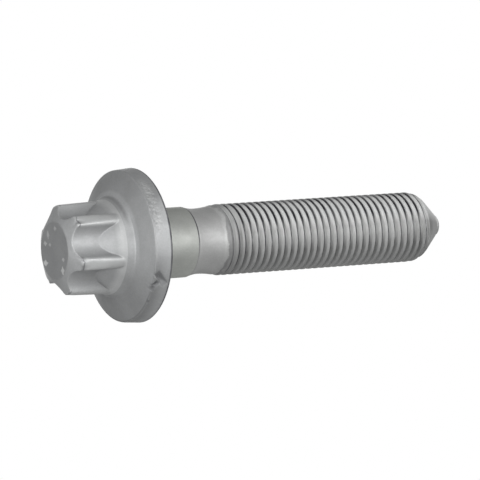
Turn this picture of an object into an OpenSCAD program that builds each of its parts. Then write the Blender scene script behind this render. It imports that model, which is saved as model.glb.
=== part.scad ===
// A shock absorber bolt, forged and rolled in one piece of steel. A six-lobed
// head stands on a broad coned flange. Below its flat bearing face come a plain
// neck, a recess as thin as the blank, the threaded shank and a blunt pilot tip.
// The bolt stands on the flat end of its head, with its axis along +Z.
// Sizes are in millimetres, and angles in degrees.

/* [Head] */
// Height of the head and flange, from the flat end to the bearing face
head_h = 17.7; // [16:0.1:20]
// Diameter across the rounded crests of the six lobes
lobe_d = 18.4; // [17.8:0.1:19]
// Diameter across the bottoms of the six grooves
root_d = 13.1; // [12.7:0.1:13.5]
// Radius that rounds the crest of each lobe
lobe_r = 1.4; // [1.2:0.1:1.6]
// Diameter of the flat end face
end_d = 11; // [9:0.5:12.5]
// Slope of the crown's chamfer, away from the end face
crown_slope = 27; // [20:1:35]
// Diameter across the crests where the chamfer ends
crest_d = 17.5; // [17:0.1:17.8]
// Draft that lets the crests widen towards the flange
crest_draft = 2.4; // [1:0.2:3]

/* [Flange] */
// Outside diameter of the flange at its bearing face
flange_d = 30.1; // [28:0.1:33]
// Height of the rim, from the bearing face to its upper corner
rim_h = 3.5; // [2.5:0.1:4.2]
// Draft of the rim, which narrows it away from the bearing face
rim_draft = 4.5; // [0:0.5:8]
// Radius that rounds the rim's upper corner
rim_round = 0.5; // [0.2:0.1:0.8]
// Chamfer on the rim's edge at the bearing face
rim_chamfer = 0.2; // [0.1:0.05:0.4]
// Diameter of the ring where the steep flare meets the flange's cone
flare_d = 20; // [19.5:0.1:22]
// Height of that ring above the bearing face
flare_h = 5.4; // [5:0.1:6]
// Angle between the steep flare and the axis
flare_angle = 30; // [25:1:35]

/* [Neck and recess] */
// Diameter of the plain neck below the bearing face
neck_d = 13.8; // [13.4:0.05:13.95]
// Length of the neck, from the bearing face to the edge of the recess
neck_l = 10.4; // [8:0.1:13]
// Radius of the fillet between the neck and the bearing face
neck_fillet = 0.6; // [0.3:0.1:1]
// Smallest diameter of the recess
recess_d = 12.8; // [12.4:0.1:13.2]
// Radius of the curve that leads from the neck into the recess
recess_in_r = 9; // [6:0.5:12]
// Radius of the curve that leads from the recess out to the thread
recess_out_r = 17; // [12:1:22]

/* [Thread] */
// Outside diameter of the thread
thread_d = 14; // [13.8:0.05:14.2]
// Pitch of the thread, whose turns are built as closed rings
pitch = 1.5; // [1:0.25:2]
// Depth of the thread, from its crests to its roots
thread_depth = 0.9; // [0.6:0.05:1.1]
// Distance from the bearing face to the middle of the first groove
first_groove = 18.3; // [17.8:0.1:20]
// Length over which the grooves reach their full depth
run_in = 7.2; // [4:0.2:9]
// Distance from the bearing face to the end of the full thread
thread_end = 62; // [50:1:80]

/* [Pilot tip] */
// Radius that turns the thread into the cone of the tip
tip_round = 4; // [3:0.5:5]
// Slope of the tip's cone against the axis
tip_slope = 43; // [38:1:48]
// Diameter at which the cone ends in a narrow shoulder
tip_shoulder_d = 5.8; // [5:0.1:6.5]
// Diameter of the small nose in front of the cone
nose_d = 4.3; // [3.6:0.1:4.8]
// Height of the nose
nose_h = 1.15; // [0.8:0.05:1.5]
// Radius that rounds the nose's edge
nose_round = 0.5; // [0.2:0.1:0.7]

/* [Hidden] */
$fn = 96;

LOBES = 6;
PITCH_ANGLE = 360 / LOBES;
// Amount by which a groove cuts into its lobes, so that the two arcs cross
ARC_LAP = 0.01;

thread_r = thread_d / 2;
neck_r = neck_d / 2;
recess_r = recess_d / 2;
root_r = root_d / 2;

// Lobes and grooves. A groove's arc leaves the lobe's arc in one tangent line.
lobe_c = lobe_d / 2 - lobe_r;
groove_r = (root_r ^ 2 + lobe_c ^ 2 - lobe_r ^ 2 - 2 * lobe_c * root_r * cos(PITCH_ANGLE / 2))
    / (2 * (lobe_r - root_r + lobe_c * cos(PITCH_ANGLE / 2)));
groove_c = root_r + groove_r;

// Crown and crests
crest_z = (crest_d - end_d) / 2 * tan(crown_slope);
flare_z = head_h - flare_h;
crest_end_r = crest_d / 2 + (flare_z - crest_z) * tan(crest_draft);

// Flange, each corner as [radius, height]
flare_core_r = root_r - 0.5;
flare_core_z = flare_z - (flare_d / 2 - flare_core_r) / tan(flare_angle);
rim_corner = [flange_d / 2 - rim_h * tan(rim_draft), head_h - rim_h];
rim_low = [flange_d / 2 - rim_chamfer * tan(rim_draft), head_h - rim_chamfer];
flare_ring = [flare_d / 2, flare_z];

// Recess
recess_in = recess_in_r - (neck_r - recess_r);
recess_z = head_h + neck_l + sqrt(recess_in_r ^ 2 - recess_in ^ 2);

// Pilot tip
tip_z = head_h + thread_end;
tip_arc = [thread_r - tip_round + tip_round * cos(tip_slope), tip_z + tip_round * sin(tip_slope)];
shoulder_r = tip_shoulder_d / 2;
shoulder_z = tip_arc[1] + (tip_arc[0] - shoulder_r) / tan(tip_slope);
nose_r = nose_d / 2;
nose_z = shoulder_z + nose_h;

// Thread. The floor of the grooves starts at the surface two turns before the
// first groove, and the last groove lies where the tip's round takes its depth.
FLANK_ANGLE = 30;
CREST_SHARE = 1 / 8;
LAST_DEPTH_SHARE = 1 / 4;
thread_root_r = thread_r - thread_depth;
groove_half = pitch * (1 - CREST_SHARE) / 2;
first_groove_z = head_h + first_groove;
floor_z = first_groove_z - 2 * pitch;
last_groove_r = thread_root_r + LAST_DEPTH_SHARE * thread_depth;
last_groove_z = tip_z + sqrt(tip_round ^ 2 - (last_groove_r - thread_r + tip_round) ^ 2);

// Unit vector from point a to point b
function unit(a, b) = (b - a) / norm(b - a);
// Half of the angle at corner p, between the sides to a and to b
function half_angle(a, p, b) = acos(unit(p, a) * unit(p, b)) / 2;
// Point on the side from p to a where a circle of radius r leaves the corner
function corner_leave(a, p, b, r) = p + unit(p, a) * r / tan(half_angle(a, p, b));
// Centre of the circle of radius r that fits the corner at p
function corner_mid(a, p, b, r) =
    p + unit([0, 0], unit(p, a) + unit(p, b)) * r / sin(half_angle(a, p, b));

// Section across the head: lobes and grooves in turn round the axis
module lobed_section() {
    // Where a lobe's arc meets the groove's arc beside it
    mid_lobe = [lobe_c, 0];
    mid_groove = groove_c * [cos(PITCH_ANGLE / 2), sin(PITCH_ANGLE / 2)];
    meet = mid_lobe + unit(mid_lobe, mid_groove) * lobe_r;
    meet_r = norm(meet);
    meet_a = atan2(meet[1], meet[0]);
    difference() {
        union() {
            polygon([for (i = [0:LOBES - 1], s = [-1, 1])
                let (a = i * PITCH_ANGLE + s * meet_a) meet_r * [cos(a), sin(a)]]);
            for (i = [0:LOBES - 1])
                rotate(i * PITCH_ANGLE)
                    translate([lobe_c, 0])
                        circle(lobe_r, $fn = 48);
        }
        for (i = [0:LOBES - 1])
            rotate((i + 0.5) * PITCH_ANGLE)
                translate([groove_c, 0])
                    circle(groove_r + ARC_LAP);
    }
}

// Half section of the turned crown, which trims the lobes' ends and crests
module crown_profile() {
    polygon([
        [0, 0],
        [end_d / 2, 0],
        [crest_d / 2, crest_z],
        [crest_end_r, flare_z],
        [0, flare_z]
    ]);
}

// Half section of the flange with the steep flare that the grooves run out on
module flange_profile() {
    polygon([
        [0, flare_core_z],
        [flare_core_r, flare_core_z],
        flare_ring,
        corner_leave(flare_ring, rim_corner, rim_low, rim_round),
        corner_leave(rim_low, rim_corner, flare_ring, rim_round),
        rim_low,
        [flange_d / 2 - rim_chamfer, head_h],
        [0, head_h]
    ]);
    translate(corner_mid(flare_ring, rim_corner, rim_low, rim_round))
        circle(rim_round, $fn = 48);
}

// Half section of the neck, the recess and the threaded shank
module shank_profile() {
    difference() {
        union() {
            translate([0, head_h - 1])
                square([neck_r, recess_z - head_h + 1]);
            translate([0, recess_z])
                square([thread_r, tip_z - recess_z]);
        }
        intersection() {
            translate([recess_r + recess_in_r, recess_z])
                circle(recess_in_r, $fn = 180);
            translate([0, recess_z - recess_in_r])
                square([flange_d, recess_in_r]);
        }
        intersection() {
            translate([recess_r + recess_out_r, recess_z])
                circle(recess_out_r, $fn = 240);
            translate([0, recess_z])
                square([flange_d, recess_out_r]);
        }
    }
    difference() {
        translate([0, head_h - 1])
            square([neck_r + neck_fillet, 1 + neck_fillet]);
        translate([neck_r + neck_fillet, head_h + neck_fillet])
            circle(neck_fillet, $fn = 48);
    }
}

// Half section of the grooves between the turns, which deepen beside the recess
// and run out on the round of the tip
module groove_profile() {
    intersection() {
        for (z = [first_groove_z : pitch : last_groove_z])
            translate([thread_r, z])
                polygon([
                    [-groove_half / tan(FLANK_ANGLE), 0],
                    [0, -groove_half],
                    [thread_depth, -groove_half],
                    [thread_depth, groove_half],
                    [0, groove_half]
                ]);
        polygon([
            [thread_r, floor_z],
            [thread_root_r, floor_z + run_in],
            [thread_root_r, shoulder_z],
            [flange_d, shoulder_z],
            [flange_d, floor_z]
        ]);
    }
}

// Half section of the blunt tip: a round, a cone, a narrow shoulder and a nose
module tip_profile() {
    intersection() {
        translate([thread_r - tip_round, tip_z])
            circle(tip_round);
        translate([0, tip_z])
            square([thread_r, tip_arc[1] - tip_z]);
    }
    polygon([
        [0, tip_z],
        [thread_r - tip_round, tip_z],
        tip_arc,
        [shoulder_r, shoulder_z],
        [0, shoulder_z]
    ]);
    translate([0, shoulder_z])
        square([nose_r, nose_h - nose_round]);
    translate([0, shoulder_z])
        square([nose_r - nose_round, nose_h]);
    translate([nose_r - nose_round, nose_z - nose_round])
        circle(nose_round, $fn = 32);
}

// The whole bolt, one piece of steel
module bolt() {
    color([0.62, 0.63, 0.62]) {
        intersection() {
            linear_extrude(flare_z)
                lobed_section();
            rotate_extrude()
                crown_profile();
        }
        rotate_extrude() {
            flange_profile();
            difference() {
                union() {
                    shank_profile();
                    tip_profile();
                }
                groove_profile();
            }
        }
    }
}

bolt();
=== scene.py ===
# A shock absorber bolt, forged and rolled in one piece of steel, and coated with
# zinc flake. The file follows the way the bolt is made: the forged head and
# flange, the shank, the knocks of handling, the rolled thread and the coating.
import math

import bmesh
import bpy
import numpy as np
from mathutils import Matrix, Vector, noise


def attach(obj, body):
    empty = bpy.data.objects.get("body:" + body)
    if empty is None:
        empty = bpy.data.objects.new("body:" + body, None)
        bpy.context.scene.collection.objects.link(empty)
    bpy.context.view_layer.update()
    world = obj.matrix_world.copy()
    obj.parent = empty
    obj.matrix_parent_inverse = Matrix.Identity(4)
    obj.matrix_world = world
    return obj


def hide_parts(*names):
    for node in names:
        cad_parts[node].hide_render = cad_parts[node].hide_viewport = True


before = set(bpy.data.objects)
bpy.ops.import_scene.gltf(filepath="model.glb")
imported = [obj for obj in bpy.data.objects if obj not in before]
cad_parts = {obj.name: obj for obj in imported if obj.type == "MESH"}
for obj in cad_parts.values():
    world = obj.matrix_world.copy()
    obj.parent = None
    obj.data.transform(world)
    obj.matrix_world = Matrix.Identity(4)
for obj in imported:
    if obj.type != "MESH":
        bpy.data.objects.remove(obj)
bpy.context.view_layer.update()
MM = 0.001

# The place the bolt is looked at from. The photograph looks at its head from
# below, along a line 30 degrees off the side view, and is turned so that the
# shank runs to the right and rises a little. The lens is long and far away.
BEARING_HEIGHT = 17.7 * MM
VIEW_OFF_SIDE = math.radians(30.2)
SHANK_RISE = math.radians(3.88)
VIEW_TURN = math.radians(-81.0)
VIEW_DISTANCE = 829 * MM
FLANGE_LEFT_OF_MIDDLE = 20.36 * MM
FLANGE_BELOW_MIDDLE = 1.02 * MM
FRAME_PIXELS = 480
LENS_PIXELS = 4274
SENSOR_WIDTH = 36

# Directions as the picture sees them: right, up, and towards the camera
shank_seen = Vector((
    math.cos(VIEW_OFF_SIDE) * math.cos(SHANK_RISE),
    math.cos(VIEW_OFF_SIDE) * math.sin(SHANK_RISE),
    -math.sin(VIEW_OFF_SIDE),
))
upper_side_seen = Vector((-math.sin(SHANK_RISE), math.cos(SHANK_RISE), 0))
near_side_seen = shank_seen.cross(upper_side_seen)
# The same three directions on the standing bolt
along_shank = Vector((0, 0, 1))
near_side = Vector((math.cos(VIEW_TURN), math.sin(VIEW_TURN), 0))
upper_side = near_side.cross(along_shank)

seen = Matrix((shank_seen, upper_side_seen, near_side_seen)).transposed()
standing = Matrix((along_shank, upper_side, near_side)).transposed()
turn = standing @ seen.transposed()
bearing_middle = Vector((0, 0, BEARING_HEIGHT))
camera_seen = Vector((FLANGE_LEFT_OF_MIDDLE, FLANGE_BELOW_MIDDLE, VIEW_DISTANCE))
camera_place = bearing_middle + turn @ camera_seen

camera = bpy.data.objects.new("photo_camera", bpy.data.cameras.new("photo_camera"))
camera.data.sensor_width = SENSOR_WIDTH
camera.data.lens = LENS_PIXELS / FRAME_PIXELS * SENSOR_WIDTH
camera.data.clip_start = 0.05
camera.data.clip_end = 20
camera.matrix_world = Matrix.Translation(camera_place) @ turn.to_4x4()
bpy.context.scene.collection.objects.link(camera)
bpy.context.scene.camera = camera

# The floor the bolt stands on: plain, pale and matt. It is painted on its upper
# face only, so the view from below sees past it, and it holds back no light.
# Further off it turns as white as the surround, so no edge shows behind the bolt.
FLOOR_RADIUS = 3.0
FLOOR_DROP = 0.1 * MM
FLOOR_GREY, FLOOR_GLOW = 0.6, 0.52
FADE_FROM, FADE_TO = 0.1, 0.6

floor_mesh = bmesh.new()
bmesh.ops.create_circle(floor_mesh, cap_ends=True, segments=96, radius=FLOOR_RADIUS)
floor_data = bpy.data.meshes.new("floor")
floor_mesh.to_mesh(floor_data)
floor_mesh.free()
floor_data.transform(Matrix.Translation((0, 0, -FLOOR_DROP)))
floor = bpy.data.objects.new("floor", floor_data)
bpy.context.scene.collection.objects.link(floor)
for ray in ("diffuse", "glossy", "transmission", "shadow"):
    setattr(floor, "visible_" + ray, False)

paint = bpy.data.materials.new("floor_paint")
paint.use_nodes = True
nodes, links = paint.node_tree.nodes, paint.node_tree.links
nodes.clear()
side = nodes.new("ShaderNodeNewGeometry")
matt = nodes.new("ShaderNodeBsdfDiffuse")
matt.inputs["Color"].default_value = (FLOOR_GREY, FLOOR_GREY, FLOOR_GREY, 1)
glow = nodes.new("ShaderNodeEmission")
glow.inputs["Color"].default_value = (FLOOR_GLOW, FLOOR_GLOW, FLOOR_GLOW, 1)
matt_and_glow = nodes.new("ShaderNodeAddShader")
clear = nodes.new("ShaderNodeBsdfTransparent")
on_floor = nodes.new("ShaderNodeTexCoord")
away = nodes.new("ShaderNodeVectorMath")
away.operation = "LENGTH"
fade = nodes.new("ShaderNodeMapRange")
fade.interpolation_type = "SMOOTHSTEP"
fade.inputs["From Min"].default_value = FADE_FROM
fade.inputs["From Max"].default_value = FADE_TO
white = nodes.new("ShaderNodeEmission")
faded = nodes.new("ShaderNodeMixShader")
choose = nodes.new("ShaderNodeMixShader")
out = nodes.new("ShaderNodeOutputMaterial")
links.new(on_floor.outputs["Object"], away.inputs[0])
links.new(away.outputs["Value"], fade.inputs["Value"])
links.new(fade.outputs[0], faded.inputs["Fac"])
links.new(matt.outputs[0], matt_and_glow.inputs[0])
links.new(glow.outputs[0], matt_and_glow.inputs[1])
links.new(matt_and_glow.outputs[0], faded.inputs[1])
links.new(white.outputs[0], faded.inputs[2])
links.new(side.outputs["Backfacing"], choose.inputs["Fac"])
links.new(faded.outputs[0], choose.inputs[1])
links.new(clear.outputs[0], choose.inputs[2])
links.new(choose.outputs[0], out.inputs["Surface"])
floor_data.materials.append(paint)

# The light: a white surround, an upright softbox in front of the shank, a soft
# lamp below the head, and three that keep the other sides readable. Each lamp:
# its place from the lit point, its width and height in metres, and its watts.
LAMPS = {
    "front_softbox": (near_side * 0.58 + along_shank * 0.10 + upper_side * 0.10, (0.36, 1.1), 6.1),
    "head_soft": (near_side * 0.21 - along_shank * 0.56 + upper_side * 0.09, (0.4, 0.4), 2.4),
    "low_fill": (-upper_side * 0.70 - near_side * 0.3, (0.3, 0.6), 0.6),
    "back_fill": (-near_side * 0.60 + along_shank * 0.25 + upper_side * 0.1, (0.5, 0.5), 2.4),
    "tip_soft": (along_shank * 0.80 - upper_side * 0.2, (0.6, 0.6), 0.4),
}
LIT_POINT = Vector((0, 0, 35 * MM))
ROOM_GREY = 0.08
for name, (place, (width, height), watts) in LAMPS.items():
    lamp = bpy.data.objects.new(name, bpy.data.lights.new(name, "AREA"))
    lamp.data.shape = "RECTANGLE"
    lamp.data.size, lamp.data.size_y = width, height
    lamp.data.energy = watts
    lamp.location = LIT_POINT + place
    lamp.rotation_mode = "QUATERNION"
    lamp.rotation_quaternion = (-place).to_track_quat("-Z", "Y")
    bpy.context.scene.collection.objects.link(lamp)

# The surround is white to the camera and in the metal, and lights the bolt dimly
world = bpy.data.worlds.new("white_surround")
bpy.context.scene.world = world
world.use_nodes = True
nodes, links = world.node_tree.nodes, world.node_tree.links
nodes.clear()
rays = nodes.new("ShaderNodeLightPath")
seen_or_glossy = nodes.new("ShaderNodeMath")
seen_or_glossy.operation = "MAXIMUM"
seen_or_clear = nodes.new("ShaderNodeMath")
seen_or_clear.operation = "MAXIMUM"
room = nodes.new("ShaderNodeBackground")
room.inputs["Color"].default_value = (ROOM_GREY, ROOM_GREY, ROOM_GREY, 1)
white = nodes.new("ShaderNodeBackground")
white.inputs["Color"].default_value = (1, 1, 1, 1)
choose = nodes.new("ShaderNodeMixShader")
out = nodes.new("ShaderNodeOutputWorld")
links.new(rays.outputs["Is Camera Ray"], seen_or_glossy.inputs[0])
links.new(rays.outputs["Is Glossy Ray"], seen_or_glossy.inputs[1])
links.new(seen_or_glossy.outputs[0], seen_or_clear.inputs[0])
links.new(rays.outputs["Is Transmission Ray"], seen_or_clear.inputs[1])
links.new(seen_or_clear.outputs[0], choose.inputs["Fac"])
links.new(room.outputs[0], choose.inputs[1])
links.new(white.outputs[0], choose.inputs[2])
links.new(choose.outputs[0], out.inputs["Surface"])
bpy.context.scene.view_settings.view_transform = "Standard"

# The head and flange, forged hot in one blow. Six lobes with wide round grooves
# between them stand on a steep flare, into which the grooves run out, and the
# flare stands on a broad cone with a nearly upright rim. The crown is turned.
LOBES = 6
LOBE_DIAMETER, ROOT_DIAMETER, LOBE_ROUND = 18.4 * MM, 13.1 * MM, 1.4 * MM
END_DIAMETER, CREST_DIAMETER = 11.0 * MM, 17.5 * MM
CROWN_SLOPE, CREST_DRAFT = math.radians(27), math.radians(2.4)
FLANGE_DIAMETER, RIM_HEIGHT, RIM_DRAFT = 30.1 * MM, 3.5 * MM, math.radians(4.5)
RIM_CHAMFER = 0.2 * MM
FLARE_DIAMETER, FLARE_HEIGHT, FLARE_ANGLE = 20.0 * MM, 5.4 * MM, math.radians(30)
# The head's points on the bearing face stop short of this radius
BEARING_RING = 12 * MM
# Radii that soften the corners, in the order that the outline passes them
END_SOFT, CROWN_SOFT, GROOVE_SOFT = 0.2 * MM, 0.3 * MM, 1.0 * MM
FLARE_SOFT, RIM_SOFT = 0.6 * MM, 0.45 * MM
CREST_SOFT = 0.25 * MM
# The most that a softened corner takes of the sides beside it
SIDE_SHARE = 0.45
# Steps that find where the wall of a lobe or a groove meets the flare
MEETING_STEPS = 6
# Columns of points round the head, and points on each stretch of its outline
HEAD_COLUMNS = 480
END_POINTS, CROWN_POINTS, WALL_POINTS, FLARE_POINTS = 4, 3, 13, 4
CONE_POINTS, RIM_POINTS, BEARING_POINTS = 8, 12, 2
CORNER_POINTS, RIM_CORNER_POINTS = 5, 7

half_step = math.pi / LOBES
lobe_middle = LOBE_DIAMETER / 2 - LOBE_ROUND
root_radius = ROOT_DIAMETER / 2
groove_round = (
    root_radius ** 2 + lobe_middle ** 2 - LOBE_ROUND ** 2
    - 2 * lobe_middle * root_radius * math.cos(half_step)
) / (2 * (LOBE_ROUND - root_radius + lobe_middle * math.cos(half_step)))
groove_middle = root_radius + groove_round
crown_height = (CREST_DIAMETER - END_DIAMETER) / 2 * math.tan(CROWN_SLOPE)
flare_base = BEARING_HEIGHT - FLARE_HEIGHT
rim_corner = BEARING_HEIGHT - RIM_HEIGHT
# Corners of the outline, each as (radius, height). The bolt stands on its head, but
# above, upper and lower on the head are meant with the head up
end_edge = (END_DIAMETER / 2, 0)
flare_ring = (FLARE_DIAMETER / 2, flare_base)
rim_top = (FLANGE_DIAMETER / 2 - RIM_HEIGHT * math.tan(RIM_DRAFT), rim_corner)
rim_low = (FLANGE_DIAMETER / 2 - RIM_CHAMFER * math.tan(RIM_DRAFT), BEARING_HEIGHT - RIM_CHAMFER)
rim_foot = (FLANGE_DIAMETER / 2 - RIM_CHAMFER, BEARING_HEIGHT)


def lobed_radius(angle):
    """Distance from the axis to the section's lobes and grooves at an angle."""
    from_lobe = abs((angle + half_step) % (2 * half_step) - half_step)
    meet = (Vector((lobe_middle, 0)) * groove_round
            + Vector((math.cos(half_step), math.sin(half_step))) * groove_middle * LOBE_ROUND)
    if from_lobe < math.atan2(meet.y, meet.x):
        side = lobe_middle * math.sin(from_lobe)
        return lobe_middle * math.cos(from_lobe) + math.sqrt(LOBE_ROUND ** 2 - side ** 2)
    from_groove = half_step - from_lobe
    side = groove_middle * math.sin(from_groove)
    return groove_middle * math.cos(from_groove) - math.sqrt(groove_round ** 2 - side ** 2)


def softer_of(a, b, soft):
    """The smaller of two lengths, with the change between them rounded off."""
    blend = max(soft - abs(a - b), 0) / soft
    return min(a, b) - blend ** 2 * soft / 4


def softened(corner, before, after, radius, count):
    """Points of a curve that rounds a corner of an outline."""
    corner, before, after = Vector(corner), Vector(before), Vector(after)
    to_before, to_after = (before - corner).normalized(), (after - corner).normalized()
    half = to_before.angle(to_after) / 2
    longest = SIDE_SHARE * min((before - corner).length, (after - corner).length)
    leave = min(radius / math.tan(half), longest)
    start, end = corner + to_before * leave, corner + to_after * leave
    # A quadratic curve through the two leaving points keeps every column alike
    return [start * (1 - t) ** 2 + corner * 2 * t * (1 - t) + end * t ** 2
            for t in (i / (count - 1) for i in range(count))]


def even(a, b, count):
    """Points between two corners, without the corners themselves."""
    a, b = Vector(a), Vector(b)
    return [a.lerp(b, (i + 1) / (count + 1)) for i in range(count)]


def head_outline(angle):
    """The half section through the head and flange at an angle: (radius, height)."""
    section = lobed_radius(angle)

    def wall(height):
        crest = CREST_DIAMETER / 2 + (height - crown_height) * math.tan(CREST_DRAFT)
        return softer_of(section, crest, CREST_SOFT)

    crown_top = wall(crown_height)
    crown = (crown_top, (crown_top - END_DIAMETER / 2) * math.tan(CROWN_SLOPE))
    # Each step comes closer to the height where the drafted wall meets the flare
    run_out = flare_base
    for _ in range(MEETING_STEPS):
        run_out = flare_base - (FLARE_DIAMETER / 2 - wall(run_out)) / math.tan(FLARE_ANGLE)
    wall_end = (wall(run_out), run_out)
    walls = [crown[1] + (wall_end[1] - crown[1]) * (i + 1) / (WALL_POINTS + 1)
             for i in range(WALL_POINTS)]
    outline = even((0, 0), end_edge, END_POINTS)
    outline += softened(end_edge, (0, 0), crown, END_SOFT, CORNER_POINTS)
    outline += even(outline[-1], crown, CROWN_POINTS)
    outline += softened(crown, end_edge, wall_end, CROWN_SOFT, CORNER_POINTS)
    outline += [Vector((wall(h), h)) for h in walls[1:-1]]
    last_wall = (wall(walls[-1]), walls[-1])
    outline += softened(wall_end, last_wall, flare_ring, GROOVE_SOFT, CORNER_POINTS)
    outline += even(outline[-1], flare_ring, FLARE_POINTS)
    outline += softened(flare_ring, wall_end, rim_top, FLARE_SOFT, CORNER_POINTS)
    outline += even(outline[-1], rim_top, CONE_POINTS)
    outline += softened(rim_top, flare_ring, rim_low, RIM_SOFT, RIM_CORNER_POINTS)
    outline += even(outline[-1], rim_low, RIM_POINTS)
    outline += [Vector(rim_low), Vector(rim_foot)]
    outline += even(rim_foot, (BEARING_RING, BEARING_HEIGHT), BEARING_POINTS)
    return outline


bolt_mesh = bmesh.new()


def ring_of(points):
    """One ring of vertices round the axis, from its (radius, height) points."""
    count = len(points)
    return [bolt_mesh.verts.new((r * math.cos(2 * math.pi * j / count),
                                 r * math.sin(2 * math.pi * j / count), h))
            for j, (r, h) in enumerate(points)]


def skin(low, high):
    """Faces between two rings, of which the second may have fewer vertices."""
    ratio = len(low) // len(high)
    for j in range(len(high)):
        k, n = j * ratio, (j + 1) % len(high)
        middle = k + ratio // 2
        if ratio == 1:
            bolt_mesh.faces.new((low[k], low[(k + 1) % len(low)], high[n], high[j]))
            continue
        for m in range(k, k + ratio):
            near = high[j] if m < middle else high[n]
            bolt_mesh.faces.new((low[m], low[(m + 1) % len(low)], near))
        bolt_mesh.faces.new((low[middle], high[n], high[j]))


outlines = [head_outline(2 * math.pi * j / HEAD_COLUMNS) for j in range(HEAD_COLUMNS)]
head_rings = [ring_of(row) for row in zip(*outlines)]
for low, high in zip(head_rings, head_rings[1:]):
    skin(low, high)
pole = bolt_mesh.verts.new((0, 0, 0))
for j in range(HEAD_COLUMNS):
    bolt_mesh.faces.new((pole, head_rings[0][(j + 1) % HEAD_COLUMNS], head_rings[0][j]))

# The shank: a plain neck, a recess left at the size of the blank, the stretch
# that takes the thread, and a blunt tip with a small nose that finds the hole.
# From the recess on, its rows of points climb like the thread's own crests.
SHANK_COLUMNS = 120
NECK_DIAMETER, NECK_LENGTH, NECK_FILLET = 13.8 * MM, 10.4 * MM, 0.6 * MM
NECK_STEP, STEP_WIDTH = 0.18 * MM, 0.10 * MM
RECESS_DIAMETER, RECESS_IN, RECESS_OUT = 12.8 * MM, 9.0 * MM, 17.0 * MM
RECESS_SOFT = 0.2 * MM
THREAD_DIAMETER, THREAD_END, PITCH = 13.96 * MM, 62.0 * MM, 1.5 * MM
TIP_ROUND, TIP_SLOPE = 4.0 * MM, math.radians(43)
SHOULDER_DIAMETER, NOSE_DIAMETER, NOSE_HEIGHT = 5.8 * MM, 4.3 * MM, 1.15 * MM
NOSE_FOOT_SOFT, NOSE_EDGE_SOFT = 0.3 * MM, 0.5 * MM
NOSE_FOOT_POINTS, NOSE_EDGE_POINTS, NOSE_END_POINTS = 4, 6, 2
# The shank's points start on the bearing face at this radius
SHANK_RING = 10 * MM
# Rows of points: over the neck's edge in millimetres from it, on the fillet, from
# the edge to the bottom of the recess, and within one turn from crest to crest
EDGE_ROWS = (-0.4, -0.15, -0.05, 0, 0.05, 0.1, 0.16, 0.25, 0.4, 0.6)
FILLET_ROWS, RECESS_ROWS = 6, 10
TURN_ROWS = (0, 0.06, 0.12, 0.24, 0.36, 0.42, 0.47, 0.53, 0.58, 0.64, 0.76, 0.88, 0.94)

neck_radius, recess_radius = NECK_DIAMETER / 2, RECESS_DIAMETER / 2
neck_end = BEARING_HEIGHT + NECK_LENGTH
recess_bottom = neck_end + math.sqrt(
    RECESS_IN ** 2 - (RECESS_IN - neck_radius + recess_radius) ** 2)
tip_start = BEARING_HEIGHT + THREAD_END
cone_start = tip_start + TIP_ROUND * math.sin(TIP_SLOPE)
cone_radius = THREAD_DIAMETER / 2 - TIP_ROUND * (1 - math.cos(TIP_SLOPE))
cone_end = cone_start + (cone_radius - SHOULDER_DIAMETER / 2) / math.tan(TIP_SLOPE)


def shank_radius(height):
    """Radius of the shank before the thread is rolled into it."""
    off = height - recess_bottom
    bend = RECESS_IN if off < 0 else RECESS_OUT
    hollow = recess_radius + bend - math.sqrt(max(bend ** 2 - off ** 2, 0))
    if off < 0:
        past_step = min(max((height - neck_end) / STEP_WIDTH, 0), 1)
        return min(neck_radius - NECK_STEP * past_step, hollow if past_step else neck_radius)
    if height > cone_start:
        return cone_radius - (height - cone_start) * math.tan(TIP_SLOPE)
    bar = THREAD_DIAMETER / 2
    if off <= bend / 2:
        bar = softer_of(bar, hollow, RECESS_SOFT)
    if height > tip_start:
        return bar - TIP_ROUND + math.sqrt(TIP_ROUND ** 2 - (height - tip_start) ** 2)
    return bar


fillet_middle = Vector((neck_radius + NECK_FILLET, BEARING_HEIGHT + NECK_FILLET))
fillet = [fillet_middle - Vector((math.sin(a), math.cos(a))) * NECK_FILLET
          for a in (i * math.pi / 2 / (FILLET_ROWS - 1) for i in range(FILLET_ROWS))]
# Rows along the neck stand a millimetre apart
neck_rows = [Vector((neck_radius, BEARING_HEIGHT + h * MM))
             for h in range(2, int(NECK_LENGTH / MM))]
edge_rows = [neck_end + h * MM for h in EDGE_ROWS]
to_bottom = recess_bottom - edge_rows[-1]
recess_rows = [edge_rows[-1] + to_bottom * (i + 1) / RECESS_ROWS for i in range(RECESS_ROWS)]
rows = [Vector((SHANK_RING, BEARING_HEIGHT))] + fillet + neck_rows
rows += [Vector((shank_radius(h), h)) for h in edge_rows + recess_rows]
shank_rings = [ring_of([row] * SHANK_COLUMNS) for row in rows]
skin(head_rings[-1], shank_rings[0])
for low, high in zip(shank_rings, shank_rings[1:]):
    skin(low, high)

# The climbing rows, held between the recess and the end of the cone
turns = math.ceil((cone_end - recess_bottom) / PITCH)
climb = [t + place for t in range(-1, turns + 1) for place in TURN_ROWS]
grid = []
for place in climb:
    row = []
    for j in range(SHANK_COLUMNS + 1):
        height = recess_bottom + PITCH * (place + j / SHANK_COLUMNS)
        height = min(max(height, recess_bottom), cone_end)
        around = 2 * math.pi * (j % SHANK_COLUMNS) / SHANK_COLUMNS
        radius = shank_radius(height)
        point = (radius * math.cos(around), radius * math.sin(around), height)
        row.append(bolt_mesh.verts.new(point))
    grid.append(row)
for low, high in zip(grid, grid[1:]):
    for j in range(SHANK_COLUMNS):
        bolt_mesh.faces.new((low[j], low[j + 1], high[j + 1], high[j]))

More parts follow.
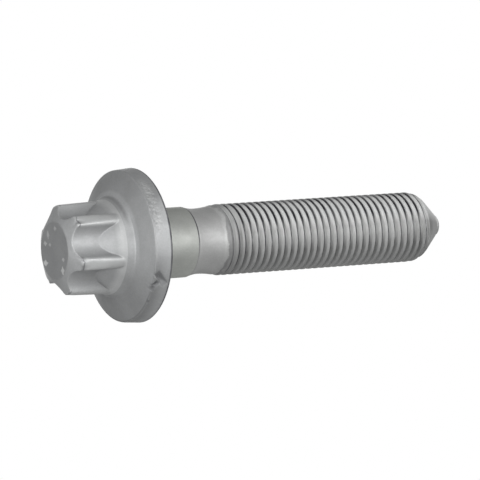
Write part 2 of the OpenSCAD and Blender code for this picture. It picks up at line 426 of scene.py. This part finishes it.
# The narrow shoulder and the nose
nose_radius, nose_end = NOSE_DIAMETER / 2, cone_end + NOSE_HEIGHT
shoulder_corner, nose_foot = (SHOULDER_DIAMETER / 2, cone_end), (nose_radius, cone_end)
nose_edge = (nose_radius, nose_end)
nose_rows = [Vector(shoulder_corner)]
nose_rows += softened(nose_foot, shoulder_corner, nose_edge, NOSE_FOOT_SOFT, NOSE_FOOT_POINTS)
nose_rows += softened(nose_edge, nose_foot, (0, nose_end), NOSE_EDGE_SOFT, NOSE_EDGE_POINTS)
nose_rows += even(nose_rows[-1], (0, nose_end), NOSE_END_POINTS)
nose_rings = [ring_of([row] * SHANK_COLUMNS) for row in nose_rows]
for low, high in zip(nose_rings, nose_rings[1:]):
    skin(low, high)
nose_pole = bolt_mesh.verts.new((0, 0, nose_end))
for j in range(SHANK_COLUMNS):
    bolt_mesh.faces.new((nose_rings[-1][j], nose_rings[-1][(j + 1) % SHANK_COLUMNS], nose_pole))

# Rows that were held at one place lie on each other, and are merged
MERGED_WITHIN, NO_LONGER_THAN = 0.002 * MM, 0.001 * MM
bmesh.ops.remove_doubles(bolt_mesh, verts=bolt_mesh.verts, dist=MERGED_WITHIN)
bmesh.ops.dissolve_degenerate(bolt_mesh, edges=bolt_mesh.edges, dist=NO_LONGER_THAN)
bmesh.ops.recalc_face_normals(bolt_mesh, faces=bolt_mesh.faces)
blank_data = bpy.data.meshes.new("bolt_blank")
bolt_mesh.to_mesh(blank_data)
bolt_mesh.free()

# The knocks of handling, which loose bolts give each other. The rim has deep nicks
# on its upper corner and a row of small pits, and the crown's corners are chipped.

# Each knock: turn in degrees, height, length, width and depth in millimetres, and
# the slant of its length from the rim's direction, in degrees
KNOCKS = (
    (-54.0, 15.6, 1.9, 0.75, 0.50, 40), (-49.5, 14.7, 1.0, 0.60, 0.40, -35),
    (-46.0, 14.3, 0.8, 0.45, 0.30, -20), (-33.0, 14.3, 0.5, 0.35, 0.15, 0),
    (-105.0, 15.3, 0.7, 0.35, 0.08, 15), (-113.0, 15.3, 0.6, 0.35, 0.08, -50),
    (-120.5, 15.7, 1.0, 0.35, 0.10, 60), (-126.5, 15.5, 0.7, 0.35, 0.08, 40),
    (64.0, 14.6, 1.1, 0.50, 0.30, -30), (118.0, 15.8, 0.8, 0.40, 0.22, 45),
    (-55.0, 1.9, 0.8, 0.50, 0.22, 0), (-67.5, 1.7, 0.6, 0.45, 0.24, 30),
    (-118.0, 1.8, 0.6, 0.40, 0.22, -20), (4.0, 1.9, 0.5, 0.40, 0.20, 0),
    (57.0, 1.8, 0.6, 0.45, 0.20, 20),
)
KNOCK_STEEPNESS = 1.3
DARK_FROM_DEPTH = 0.14 * MM

places = np.empty(3 * len(blank_data.vertices))
blank_data.vertices.foreach_get("co", places)
places = places.reshape(-1, 3)
radii, heights = np.hypot(places[:, 0], places[:, 1]), places[:, 2]
turned = np.degrees(np.arctan2(places[:, 1], places[:, 0]))
deepened = np.zeros(len(places))
for turn_at, height, length, width, depth, slant in KNOCKS:
    off_turn = (turned - turn_at + 180) % 360 - 180
    across, up = np.radians(off_turn) * radii / MM, heights / MM - height
    lean = math.radians(slant)
    along = across * math.cos(lean) + up * math.sin(lean)
    beside = up * math.cos(lean) - across * math.sin(lean)
    # A wedge with a flat floor: its walls are straight, as a sharp corner cuts them
    off_knock = np.maximum(np.abs(along) / length, np.abs(beside) / width)
    inside = np.clip(KNOCK_STEEPNESS * (1 - off_knock), 0, 1)
    near_surface = (np.abs(off_turn) < 90) & (radii > LOBE_DIAMETER / 2 - LOBE_ROUND)
    deepened = np.maximum(deepened, depth * MM * inside * near_surface)
knocked_to = np.clip(deepened / DARK_FROM_DEPTH, 0, 1)

# Beside the rim's upper corner the trimming of the flash has left a rough band,
# strongest over part of the rim and faint all the way round. Turns in degrees
ROUGH_FROM, ROUGH_TO, ROUGH_FADE = -128, -98, 14
ROUGH_DEPTH, ROUGH_SIZE, EVEN_SHARE = 0.11 * MM, 0.6 * MM, 0.12
ABOVE_CORNER, BELOW_CORNER = 0.5 * MM, 2.4 * MM
RIM_INSIDE = 14 * MM
roughened = np.zeros(len(places))
off_corner = heights - rim_corner
in_band = (radii > RIM_INSIDE) & (off_corner > -ABOVE_CORNER) & (off_corner < BELOW_CORNER)
for i in np.nonzero(in_band)[0]:
    off_patch = max(ROUGH_FROM - turned[i], turned[i] - ROUGH_TO, 0) / ROUGH_FADE
    share = max(1 - off_patch, EVEN_SHARE)
    reach = BELOW_CORNER if off_corner[i] > 0 else ABOVE_CORNER
    share *= 1 - (off_corner[i] / reach) ** 2
    # Lumps of two sizes, with smooth places left between them
    place = Vector(places[i]) / ROUGH_SIZE
    lump = max(noise.noise(place) + 0.5 * noise.noise(place * 2.1) + 0.1, 0)
    deepened[i] += ROUGH_DEPTH * lump * share
    roughened[i] = share
places[:, :2] *= (1 - deepened / np.maximum(radii, MM))[:, None]
blank_data.vertices.foreach_set("co", places.ravel())
for label, values in (("knocked", knocked_to), ("roughened", roughened)):
    blank_data.attributes.new(label, "FLOAT", "POINT").data.foreach_set("value", values)
blank = bpy.data.objects.new("bolt_blank", blank_data)
bpy.context.scene.collection.objects.link(blank)

# The thread, rolled into the finished shank: a right-handed groove that the dies
# press down to one depth. It fades in beside the recess, and on the tip it ends
# where the cone drops below the bottom of the groove.
THREAD_SIZES = {
    "Pitch": PITCH,
    "Radius": THREAD_DIAMETER / 2,
    "Start height": recess_bottom,
    "Fade in from": BEARING_HEIGHT + 15.3 * MM,
    "Fade in to": BEARING_HEIGHT + 22.5 * MM,
    "Depth": 0.88 * MM,
    "Crest share": 0.22,
    "Root share": 0.08,
    "Straight flank": 0.7,
    "Rounded flank": 0.3,
    "Waver": 0.07,
    "Waver size": 1.6 * MM,
}
rolling = bpy.data.node_groups.new("rolled_thread", "GeometryNodeTree")
face = rolling.interface
face.new_socket("Geometry", in_out="INPUT", socket_type="NodeSocketGeometry")
face.new_socket("Geometry", in_out="OUTPUT", socket_type="NodeSocketGeometry")
for label in THREAD_SIZES:
    face.new_socket(label, in_out="INPUT", socket_type="NodeSocketFloat")
face.new_socket("Coat", in_out="INPUT", socket_type="NodeSocketMaterial")
nodes, links = rolling.nodes, rolling.links


def fed(sockets, values):
    """Leads values into sockets: a link, a colour or a plain number for each."""
    for socket, value in zip(sockets, values):
        if isinstance(value, bpy.types.NodeSocket):
            links.new(value, socket)
        elif isinstance(value, tuple):
            socket.default_value = (*value, 1)
        else:
            socket.default_value = value


def reckon(operation, *values):
    """A Math node on sockets or numbers, and its result."""
    node = nodes.new("ShaderNodeMath")
    node.operation = operation
    fed(node.inputs, values)
    return node.outputs[0]


def product(first, *others):
    """Two or more shares multiplied with each other."""
    for other in others:
        first = reckon("MULTIPLY", first, other)
    return first


def most_of(first, *others):
    """The largest of two or more shares."""
    for other in others:
        first = reckon("MAXIMUM", first, other)
    return first


def apart(first, second):
    """How far two values lie apart."""
    return reckon("ABSOLUTE", reckon("SUBTRACT", first, second))


def ramp_of(value, low, high, to_low=0.0, to_high=1.0, smooth=False):
    """A Map Range node, which leads a value from one range into another."""
    node = nodes.new("ShaderNodeMapRange")
    node.interpolation_type = "SMOOTHSTEP" if smooth else "LINEAR"
    fed(node.inputs, (value, low, high, to_low, to_high))
    return node.outputs[0]


given = nodes.new("NodeGroupInput").outputs

position = nodes.new("GeometryNodeInputPosition").outputs[0]
place = nodes.new("ShaderNodeSeparateXYZ")
links.new(position, place.inputs[0])
x, y, z = place.outputs
radius = reckon("SQRT", reckon("ADD", product(x, x), product(y, y)))
around = reckon("DIVIDE", reckon("ARCTAN2", y, x), 2 * math.pi)
climbed = reckon("DIVIDE", reckon("SUBTRACT", z, given["Start height"]), given["Pitch"])
# The dies waver a little, so no two turns are quite alike
unsteady = nodes.new("ShaderNodeTexNoise")
links.new(position, unsteady.inputs["Vector"])
links.new(reckon("DIVIDE", 1, given["Waver size"]), unsteady.inputs["Scale"])
waver = product(reckon("SUBTRACT", unsteady.outputs[0], 0.5), given["Waver"])
within = reckon("FRACT", reckon("ADD", reckon("SUBTRACT", climbed, around), waver))
# 0 in the middle of the groove, 1 in the middle of the crest
off_root = product(apart(within, 0.5), 2)
crest_edge = reckon("SUBTRACT", 1, given["Crest share"])
flank = reckon("SUBTRACT", 1, ramp_of(off_root, given["Root share"], crest_edge))
rounded = product(ramp_of(flank, 0, 1, smooth=True), given["Rounded flank"])
groove = reckon("MULTIPLY_ADD", flank, given["Straight flank"], rounded)
# The dies press no deeper than the bottom of the groove, and less where they start
fade_in = ramp_of(z, given["Fade in from"], given["Fade in to"], smooth=True)
bottom = reckon("SUBTRACT", given["Radius"], given["Depth"])
room_left = most_of(reckon("SUBTRACT", radius, bottom), 0)
pressed = reckon("MINIMUM", product(given["Depth"], fade_in), room_left)
scale = reckon("DIVIDE", reckon("SUBTRACT", radius, product(groove, pressed)), radius)
new_place = nodes.new("ShaderNodeCombineXYZ")
fed(new_place.inputs, (product(x, scale), product(y, scale), z))
threaded = reckon("GREATER_THAN", z, given["Start height"])
# How near the bottom of the groove a point is, as far as the groove is pressed in
deepest = reckon("DIVIDE", pressed, given["Depth"])
near_root = product(threaded, deepest, reckon("SUBTRACT", 1, off_root))

keep = nodes.new("GeometryNodeStoreNamedAttribute")
keep.inputs["Name"].default_value = "in_groove"
links.new(given["Geometry"], keep.inputs["Geometry"])
links.new(near_root, keep.inputs["Value"])
press = nodes.new("GeometryNodeSetPosition")
links.new(keep.outputs[0], press.inputs["Geometry"])
links.new(threaded, press.inputs["Selection"])
links.new(new_place.outputs[0], press.inputs["Position"])
realize = nodes.new("GeometryNodeRealizeInstances")
links.new(press.outputs[0], realize.inputs[0])
finish = nodes.new("GeometryNodeSetMaterial")
links.new(realize.outputs[0], finish.inputs["Geometry"])
links.new(given["Coat"], finish.inputs["Material"])
links.new(finish.outputs[0], nodes.new("NodeGroupOutput").inputs[0])

# The bolt gets its coat after the dies, and the coat is mixed in the next section
coat = bpy.data.materials.new("zinc_flake_coat")
dies = blank.modifiers.new("rolled_thread", "NODES")
dies.node_group = rolling
for item in rolling.interface.items_tree:
    if item.in_out == "INPUT" and item.name in THREAD_SIZES:
        dies[item.identifier] = THREAD_SIZES[item.name]
    if item.name == "Coat":
        dies[item.identifier] = coat
bpy.context.view_layer.update()
rolled = blank.evaluated_get(bpy.context.evaluated_depsgraph_get())
bolt_data = bpy.data.meshes.new_from_object(rolled)
bolt_data.name = "bolt"
bolt_data.shade_smooth()
bpy.data.objects.remove(blank)

# The coating: dull grey zinc flake, in which the finished bolt was dipped and
# then baked. It is paler and smoother on edges, where it has been rubbed, and
# dark with dirt and painted shade in corners and grooves. Painted light and
# painted shade also lie on some sides of the bolt and on some of its parts.

# How sharply the surface bends at each point, per millimetre: above 0 where the
# point stands out, and below 0 in a corner. The coating is rubbed off the one, and
# the other is darkened with dirt and painted shade
SHORTEST_SPAN = 0.01
count = len(bolt_data.vertices)
places, normals = np.empty(3 * count), np.empty(3 * count)
ends = np.empty(2 * len(bolt_data.edges), dtype=int)
bolt_data.vertices.foreach_get("co", places)
bolt_data.vertex_normals.foreach_get("vector", normals)
bolt_data.edges.foreach_get("vertices", ends)
places, normals, ends = places.reshape(-1, 3) / MM, normals.reshape(-1, 3), ends.reshape(-1, 2)
ends = np.concatenate((ends, ends[:, ::-1]))
here, there = ends[:, 0], ends[:, 1]
spans = places[there] - places[here]
bends = -2 * (spans * normals[here]).sum(1) / np.maximum((spans ** 2).sum(1), SHORTEST_SPAN ** 2)
neighbours = np.maximum(np.bincount(here, minlength=count), 1)
bent = np.bincount(here, weights=bends, minlength=count) / neighbours
bent_beside = np.bincount(here, weights=bent[there], minlength=count) / neighbours
bent = (bent + bent_beside) / 2
bolt_data.attributes.new("standing_out", "FLOAT", "POINT").data.foreach_set("value", bent)

# Grey of the coat, pale grey of bare metal and painted light, and dark grey of dirt and painted
# shade
COAT_GREY, BARE_AND_LIT_GREY, DIRT_AND_SHADE_GREY = (0.262, 0.264, 0.262), (0.50, 0.505, 0.50), (0.062, 0.062, 0.068)
NECK_TINT, HEAD_TINT = (0.93, 0.95, 0.91), (0.985, 0.995, 1.01)
CLOUD_SIZE, PATCH_SIZE, GRAIN_SIZE, FINE_SIZE = 5 * MM, 1.6 * MM, 0.35 * MM, 0.12 * MM
coat.use_nodes = True
nodes, links = coat.node_tree.nodes, coat.node_tree.links
nodes.clear()


def toned(value, share, tone):
    """A value multiplied by a tone where a share is 1, and left where it is 0."""
    return product(value, ramp_of(share, 0, 1, 1.0, tone))


def noise_of(size, detail=2.0):
    """A Noise texture with grains of a given size, and its value round 0.5."""
    node = nodes.new("ShaderNodeTexNoise")
    node.inputs["Scale"].default_value = 1 / size
    node.inputs["Detail"].default_value = detail
    links.new(on_bolt, node.inputs["Vector"])
    return node.outputs[0]


def attribute(label):
    """A value that the mesh carries at its points."""
    node = nodes.new("ShaderNodeAttribute")
    node.attribute_name = label
    return node.outputs["Fac"]


def toward(direction):
    """How far a point lies from the axis in a direction."""
    return reckon("ADD", product(x, direction.x), product(y, direction.y))


def mixed(share, first, second, blend="MIX"):
    """A colour mixed from two colours or sockets by a share."""
    node = nodes.new("ShaderNodeMix")
    node.data_type = "RGBA"
    node.blend_type = blend
    fed((node.inputs[0], node.inputs[6], node.inputs[7]), (share, first, second))
    return node.outputs[2]


on_bolt = nodes.new("ShaderNodeTexCoord").outputs["Object"]
axes = nodes.new("ShaderNodeSeparateXYZ")
links.new(on_bolt, axes.inputs[0])
x, y, z = axes.outputs
off_axis = reckon("SQRT", reckon("ADD", product(x, x), product(y, y)))
# Where a point lies round the bolt: 1 on the near or upper side of the bolt as it
# was photographed, and -1 on the side across from it
toward_near, toward_upper = toward(near_side), toward(upper_side)
nearness = reckon("DIVIDE", toward_near, off_axis)
upward = reckon("DIVIDE", toward_upper, off_axis)
off_level = reckon("ABSOLUTE", upward)
cloud, patch = noise_of(CLOUD_SIZE, 3), noise_of(PATCH_SIZE, 4)
grain, fine_grain = noise_of(GRAIN_SIZE, 3), noise_of(FINE_SIZE)
standing_out, in_groove = attribute("standing_out"), attribute("in_groove")

# Edges are rubbed, and corners are darkened with dirt and painted shade, in
# patches. On the thread the edges have kept their coat better
TURNS_FROM, TURNS_FULL = BEARING_HEIGHT + 16 * MM, BEARING_HEIGHT + 24 * MM
rubbed = product(ramp_of(standing_out, 0.5, 2.2, smooth=True), ramp_of(patch, 0.35, 0.6))
corner_dirt_and_shade = product(ramp_of(standing_out, -0.8, -2.4, smooth=True),
                   ramp_of(patch, 0.25, 0.5, 0.5, 1.0))
on_turns = ramp_of(z, TURNS_FROM, TURNS_FULL)
rubbed = toned(rubbed, on_turns, 0.2)
# In the upper half the thread's grooves are darkened with painted shade, and its
# crests and flanks are made pale with painted light
groove_shade_edge = ramp_of(upward, 0.26, 0.9, 0.67, 0.43)
groove_shade_edge = reckon("SUBTRACT", groove_shade_edge, ramp_of(upward, 0.88, 0.98, 0, 0.16))
upper_groove_shade = product(ramp_of(upward, 0.1, 0.5), ramp_of(cloud, 0.35, 0.55, 0.7, 1.0),
                   ramp_of(in_groove, groove_shade_edge, reckon("ADD", groove_shade_edge, 0.1), smooth=True))
upper_turns_light = product(ramp_of(upward, 0.15, 0.65), ramp_of(upward, 0.98, 0.88), on_turns)
# The flanks of the thread are paler off its lower side: partly burnished by
# rolling, partly painted light
flank_light_edge = ramp_of(off_level, 0.15, 0.5, 0.42, 0.2)
off_lower_side = ramp_of(upward, -0.5, -0.1)
burnish_and_flank_light = product(on_turns, ramp_of(in_groove, flank_light_edge, reckon("ADD", flank_light_edge, 0.2)),
                    off_lower_side)
# The crests of the lobes are paler: partly polished by the socket, partly a painted
# highlight
CREST_FROM, CREST_FULL, SOCKET_REACH = 8.2 * MM, 8.8 * MM, 11 * MM
crest_polish_and_highlight = product(ramp_of(off_axis, CREST_FROM, CREST_FULL),
                      reckon("LESS_THAN", z, SOCKET_REACH))
# A dark line of painted shade lies in the corner behind the neck's edge, strongest
# on the upper side
LINE_BEYOND_NECK, LINE_HALF_WIDTH, LINE_CORE = 0.16 * MM, 0.24 * MM, 0.10 * MM
neck_corner_shade = product(
    ramp_of(apart(z, neck_end + LINE_BEYOND_NECK), LINE_HALF_WIDTH, LINE_CORE),
    ramp_of(upward, -0.5, 0.3, 0.2, 1.0))
# A band of painted shadow lies along the rim's lower edge, above the bearing face,
# strongest on the near side
BAND_FROM, BAND_FULL = BEARING_HEIGHT - 0.52 * MM, BEARING_HEIGHT - 0.34 * MM
BAND_INSIDE = 14.6 * MM
rim_edge_shadow = product(
    ramp_of(z, BAND_FROM, BAND_FULL), reckon("GREATER_THAN", off_axis, BAND_INSIDE),
    ramp_of(patch, 0.35, 0.6, 0.65, 0.95), ramp_of(nearness, -0.1, 0.6, 0.2, 1.0))
# Dirt and painted shade together, laid on in the dark grey
dirt_and_painted_shade = most_of(corner_dirt_and_shade, upper_groove_shade, neck_corner_shade, rim_edge_shadow)
# Where the crown was turned, a ragged dark burr lies over the end of each lobe
BURR_LOW, BURR_WANDER = crown_height - 0.55 * MM, 1.6 * MM
BURR_HALF_WIDTH, BURR_CORE, BURR_FULL = 0.16 * MM, 0.06 * MM, 8.5 * MM
burr_at = reckon("MULTIPLY_ADD", patch, BURR_WANDER, BURR_LOW)
burr = product(ramp_of(apart(z, burr_at), BURR_HALF_WIDTH, BURR_CORE),
               ramp_of(off_axis, CREST_FROM, BURR_FULL))
# Where the dies took hold, the first turn has a dragged, pale edge, and beyond it on
# the near side a dark line of painted shade
EDGE_LOW, EDGE_WANDER = BEARING_HEIGHT + 15.35 * MM, 1.4 * MM
DRAG_HALF_WIDTH, DRAG_CORE = 0.45 * MM, 0.1 * MM
DARK_BEYOND, DARK_HALF_WIDTH = 0.75 * MM, 0.4 * MM
first_edge = reckon("MULTIPLY_ADD", reckon("ADD", patch, cloud), EDGE_WANDER, EDGE_LOW)
dragged = product(ramp_of(apart(z, first_edge), DRAG_HALF_WIDTH, DRAG_CORE),
                  ramp_of(upward, -0.8, -0.2))
shade_beyond_first_edge = product(
    ramp_of(apart(z, reckon("ADD", first_edge, DARK_BEYOND)), DARK_HALF_WIDTH, DRAG_CORE),
    ramp_of(nearness, -0.2, 0.3))

# Small chips bare the pale metal on the flat end face. Each chip: how far it lies
# towards the near side and the upper side, its half sizes along those two
# directions, in millimetres, and how bare it is
CHIPS = (
    (-3.9, -2.3, 1.10, 0.70, 1.0), (2.9, -3.9, 0.95, 0.80, 0.8), (3.4, -1.8, 0.60, 0.50, 0.55),
    (-3.6, 1.5, 0.80, 0.50, 0.6), (-2.2, 3.1, 0.55, 0.90, 0.45), (-1.6, 1.2, 0.60, 0.45, 0.45),
    (0.8, 4.2, 0.55, 0.50, 0.45),
)
CHIP_RAGGEDNESS, CHIP_EDGE, CHIP_CORE = 1.2, 2.3, 2.0
END_FROM, END_FULL = 0.12 * MM, 0.02 * MM
chipped = 0.0
for near, upper, near_size, upper_size, bare in CHIPS:
    off_near = reckon("DIVIDE", reckon("SUBTRACT", toward_near, near * MM), near_size * MM)
    off_upper = reckon("DIVIDE", reckon("SUBTRACT", toward_upper, upper * MM), upper_size * MM)
    off_chip = reckon("ADD", reckon("ABSOLUTE", off_near), reckon("ABSOLUTE", off_upper))
    ragged = reckon("MULTIPLY_ADD", reckon("ADD", grain, patch), CHIP_RAGGEDNESS, off_chip)
    chipped = most_of(chipped, product(ramp_of(ragged, CHIP_EDGE, CHIP_CORE), bare))
on_end = ramp_of(z, END_FROM, END_FULL)
chipped = product(chipped, on_end)

# Colour: the grey clouded and grained, tinted a little on the head and the neck
FACE_MARGIN, EDGE_MARGIN = 0.01 * MM, 0.02 * MM
neck_share = product(reckon("GREATER_THAN", z, BEARING_HEIGHT - FACE_MARGIN),
                     reckon("LESS_THAN", z, neck_end + EDGE_MARGIN))
head_share = reckon("LESS_THAN", z, BEARING_HEIGHT - FACE_MARGIN)
colour = mixed(neck_share, COAT_GREY, NECK_TINT, "MULTIPLY")
colour = mixed(head_share, colour, HEAD_TINT, "MULTIPLY")
shade = product(ramp_of(cloud, 0.3, 0.7, 0.93, 1.07), ramp_of(grain, 0.25, 0.75, 0.95, 1.05),
                ramp_of(fine_grain, 0.2, 0.8, 0.95, 1.05))
# The end face, the rim and the tip are a little darker: painted shade
END_TONE, RIM_TONE, TIP_TONE = 0.83, 0.85, 0.84
TIP_TONE_FROM, TIP_TONE_FULL = tip_start - 6 * MM, tip_start + 2 * MM
on_rim = product(reckon("GREATER_THAN", z, rim_corner), head_share)
shade = toned(shade, on_end, END_TONE)
shade = toned(shade, on_rim, RIM_TONE)
shade = product(shade, ramp_of(z, TIP_TONE_FROM, TIP_TONE_FULL, 1.0, TIP_TONE))
# The flare and the cone are darker on their upper and lower sides than on the near
# and far sides: painted shade
CONE_TONE = 0.84
on_cone = product(ramp_of(z, crown_height, flare_base), reckon("LESS_THAN", z, rim_corner))
cone_side_shade = product(on_cone, ramp_of(off_level, 0.3, 0.85, smooth=True))
shade = toned(shade, cone_side_shade, CONE_TONE)
# The rim is paler towards the bearing face on the near side, partly scraped and
# partly painted light, and darker along its upper corner on the lower side, painted
# shade
RIM_PALE_TONE, CORNER_TONE, CORNER_ABOVE = 1.3, 0.78, 0.15 * MM
across_rim = ramp_of(z, rim_corner, BEARING_HEIGHT)
rim_scrape_and_light = product(
    ramp_of(across_rim, 0.25, 0.7), ramp_of(nearness, 0, 0.4),
    product(ramp_of(upward, 0.62, 0.5), ramp_of(upward, 0.05, 0.42, 0.2, 1.0)), on_rim)
shade = toned(shade, rim_scrape_and_light, RIM_PALE_TONE)
rim_corner_shade = product(
    ramp_of(across_rim, 0.65, 0.1), ramp_of(upward, -0.1, -0.4),
    reckon("GREATER_THAN", z, rim_corner - CORNER_ABOVE), head_share)
shade = toned(shade, rim_corner_shade, CORNER_TONE)
# The steep flare is paler in a ring where it ends and half up its near and far
# sides, as painted light, and darker along an arc on its upper side, as a painted
# shadow
FLARE_LIGHT_TONE, ARC_SHADOW_TONE = 1.18, 0.82
FLARE_FROM, FLARE_TO, FLARE_FULL = 10.2 * MM, 12.75 * MM, 12.55 * MM
RING_FROM, RING_FULL = 9.85 * MM, 10.0 * MM
ARC_SHADOW_HEIGHT, ARC_SHADOW_HALF_WIDTH, ARC_SHADOW_CORE = 11.7 * MM, 0.4 * MM, 0.1 * MM
on_flare = product(reckon("GREATER_THAN", z, FLARE_FROM), ramp_of(z, FLARE_TO, FLARE_FULL))
on_ring = product(on_flare, ramp_of(off_axis, RING_FROM, RING_FULL))
half_up = product(ramp_of(upward, 0.2, 0.4), ramp_of(upward, 0.8, 0.5), on_flare)
flare_painted_light = product(most_of(on_ring, half_up), off_lower_side)
shade = toned(shade, flare_painted_light, FLARE_LIGHT_TONE)
flare_arc_shadow = product(ramp_of(apart(z, ARC_SHADOW_HEIGHT), ARC_SHADOW_HALF_WIDTH, ARC_SHADOW_CORE),
               ramp_of(upward, 0.3, 0.6))
shade = toned(shade, flare_arc_shadow, ARC_SHADOW_TONE)
# On the near and far sides the turns are paler, apart from their crests: painted
# light. The crests of the lower side are dull, and so are the turns at the very top:
# painted shade
CREST_TONE, TURNS_TONE, TOP_TONE = 0.76, 1.22, 0.70
PAST_CONE = 1 * MM
on_crests = product(on_turns, ramp_of(in_groove, 0.42, 0.25),
                    ramp_of(z, cone_start + PAST_CONE, cone_start))
crest_painted_shade = product(
    on_crests, most_of(ramp_of(off_level, 0.45, 0.1), ramp_of(upward, -0.5, -0.75)))
shade = toned(shade, crest_painted_shade, CREST_TONE)
turns_painted_light = product(on_turns, ramp_of(off_level, 0.45, 0.05),
                     ramp_of(z, TIP_TONE_FULL, TIP_TONE_FROM))
shade = toned(shade, turns_painted_light, TURNS_TONE)
top_turns_shade = product(on_turns, ramp_of(upward, 0.85, 0.98))
shade = toned(shade, top_turns_shade, TOP_TONE)
# The first turns beside the dragged edge are duller, painted shade, and the neck's
# lower side paler, painted light
FIRST_TONE, LOW_NECK_TONE = 0.76, 1.15
FIRST_BEYOND = 0.45 * MM
FIRST_TO, FIRST_FULL = BEARING_HEIGHT + 22.5 * MM, BEARING_HEIGHT + 20 * MM
first_turns_shade = product(
    reckon("GREATER_THAN", z, reckon("ADD", first_edge, FIRST_BEYOND)),
    ramp_of(z, FIRST_TO, FIRST_FULL), ramp_of(upward, 0.75, 0.5))
shade = toned(shade, first_turns_shade, FIRST_TONE)
low_neck_light = product(neck_share, ramp_of(upward, -0.5, -0.9))
shade = toned(shade, low_neck_light, LOW_NECK_TONE)
shade_colour = nodes.new("ShaderNodeCombineColor")
for socket in shade_colour.inputs:
    links.new(shade, socket)
colour = mixed(1.0, colour, shade_colour.outputs[0], "MULTIPLY")

# Wear, dirt, painted light and painted shade lie over the coat one after the other,
# each with its own strength
rough_pale = product(
    ramp_of(attribute("roughened"), 0.1, 0.7), ramp_of(grain, 0.38, 0.58, 0.3, 1.0),
    ramp_of(across_rim, 0.02, 0.25))
# Knocks are darker where they are deep
deep_knocks_dark = ramp_of(attribute("knocked"), 0.2, 0.9)
for wear, strength, tone in (
    (rubbed, 0.1, BARE_AND_LIT_GREY),
    (crest_polish_and_highlight, 0.25, BARE_AND_LIT_GREY),
    (rough_pale, 0.28, BARE_AND_LIT_GREY),
    (deep_knocks_dark, 0.35, DIRT_AND_SHADE_GREY),
    (burr, 0.6, DIRT_AND_SHADE_GREY),
    (dragged, 0.14, BARE_AND_LIT_GREY),
    (shade_beyond_first_edge, 0.3, DIRT_AND_SHADE_GREY),
    (upper_turns_light, 0.85, BARE_AND_LIT_GREY),
    (burnish_and_flank_light, 0.75, BARE_AND_LIT_GREY),
    (chipped, 0.8, BARE_AND_LIT_GREY),
):
    colour = mixed(product(wear, strength), colour, tone)
colour = mixed(dirt_and_painted_shade, colour, DIRT_AND_SHADE_GREY)

# Roughness and relief: a blasted grain, the forging's soft lumps on the head, and
# the turning marks on the bearing face
ROUGH_LOW, ROUGH_HIGH, DARKENED_ROUGHER, RUBBED_SMOOTHER = 0.54, 0.62, 0.2, 0.12
LUMP_SIZE, LUMP_RELIEF, GRAIN_RELIEF, CHIP_DEPTH = 2.2 * MM, 0.05 * MM, 0.005 * MM, 0.02 * MM
MARK_SPACING, MARK_RELIEF = 0.25 * MM, 0.006 * MM
roughness = reckon("ADD", ramp_of(patch, 0.3, 0.7, ROUGH_LOW, ROUGH_HIGH),
                   product(dirt_and_painted_shade, DARKENED_ROUGHER))
roughness = reckon("SUBTRACT", roughness, product(rubbed, RUBBED_SMOOTHER))
forged = product(noise_of(LUMP_SIZE, 2), LUMP_RELIEF, head_share)
relief = reckon("ADD", forged, product(grain, GRAIN_RELIEF))
relief = reckon("SUBTRACT", relief, product(chipped, CHIP_DEPTH))
on_bearing = product(reckon("GREATER_THAN", z, BEARING_HEIGHT - EDGE_MARGIN),
                     reckon("LESS_THAN", z, BEARING_HEIGHT + EDGE_MARGIN))
turning = reckon("SINE", product(off_axis, 2 * math.pi / MARK_SPACING))
relief = reckon("ADD", relief, product(turning, on_bearing, MARK_RELIEF))
bump = nodes.new("ShaderNodeBump")
bump.inputs["Strength"].default_value = 1.0
bump.inputs["Distance"].default_value = 1.0
links.new(relief, bump.inputs["Height"])

metal = nodes.new("ShaderNodeBsdfPrincipled")
metal.inputs["Metallic"].default_value = 0.7
metal.inputs["Specular IOR Level"].default_value = 0.2
metal.inputs["Specular Tint"].default_value = (0.3, 0.3, 0.3, 1)
links.new(colour, metal.inputs["Base Color"])
links.new(roughness, metal.inputs["Roughness"])
links.new(bump.outputs[0], metal.inputs["Normal"])
links.new(metal.outputs[0], nodes.new("ShaderNodeOutputMaterial").inputs["Surface"])

bolt = bpy.data.objects.new("coated_bolt", bolt_data)
bpy.context.scene.collection.objects.link(bolt)
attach(bolt, "root")
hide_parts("bolt")
